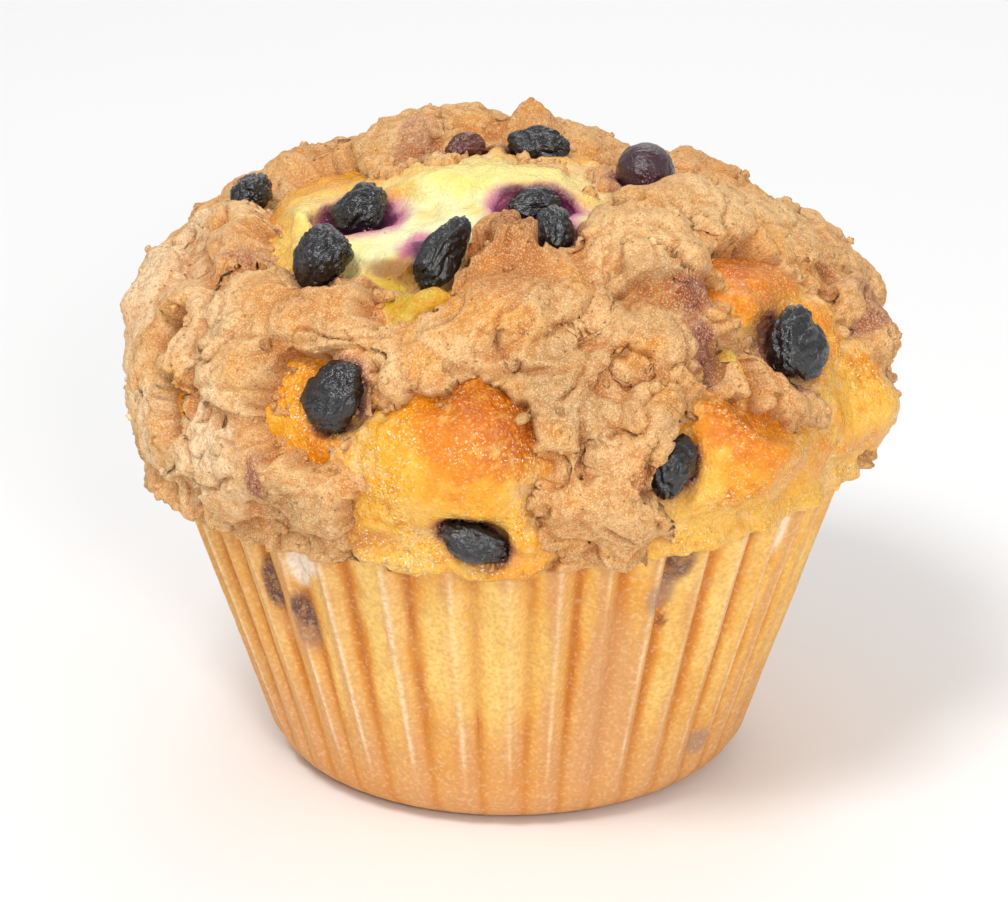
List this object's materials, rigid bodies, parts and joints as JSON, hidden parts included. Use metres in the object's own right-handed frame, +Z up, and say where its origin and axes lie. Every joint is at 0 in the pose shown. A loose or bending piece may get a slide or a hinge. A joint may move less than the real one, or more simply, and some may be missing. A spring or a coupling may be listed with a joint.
{
  "type": "blueberry muffin",
  "caption": "Domed blueberry muffin topped with lumps of baked crumble, standing in a pleated greaseproof paper case.",
  "frame": {"origin": "centre of the paper case's flat base, on the table", "axes": "+Z up; -Y towards the front that the picture shows; +X to the picture's right"},
  "size_m": [0.0942, 0.0999, 0.0779],
  "materials": {
    "cake": "baked crust, golden, slightly glossy",
    "crumble": "dry sandy crumble, matt",
    "blueberry": "wrinkled dark skin, satin",
    "paper": "translucent greaseproof paper, stained by the cake behind it"
  },
  "bodies": {
    "root": {"cake": "cake", "crumble_peak": "crumble", "crumble_middle": "crumble", "crumble_block": "crumble", "crumble_right_top": "crumble", "crumble_front_right": "crumble", "crumble_right_face": "crumble", "crumble_right_edge": "crumble", "crumble_left_middle": "crumble", "crumble_left_low": "crumble", "crumble_left_edge": "crumble", "crumble_left_top": "crumble", "crumble_rear_left": "crumble", "crumble_rear_right": "crumble", "crumble_back_high": "crumble", "crumble_back_left": "crumble", "crumble_back_right": "crumble", "crumble_back_low": "crumble", "crumble_side_right": "crumble", "crumble_side_left": "crumble", "blueberry_rear_left": "blueberry", "blueberry_upper_left": "blueberry", "blueberry_left": "blueberry", "blueberry_long": "blueberry", "blueberry_top": "blueberry", "blueberry_beside_peak": "blueberry", "blueberry_back_of_top": "blueberry", "blueberry_round": "blueberry", "blueberry_front_left": "blueberry", "blueberry_right": "blueberry", "blueberry_under_crumble": "blueberry", "blueberry_lip": "blueberry", "blueberry_dark_top": "blueberry", "blueberry_back_left": "blueberry", "blueberry_back": "blueberry", "blueberry_back_right": "blueberry", "paper_case": "paper"}
  },
  "joints": []
}
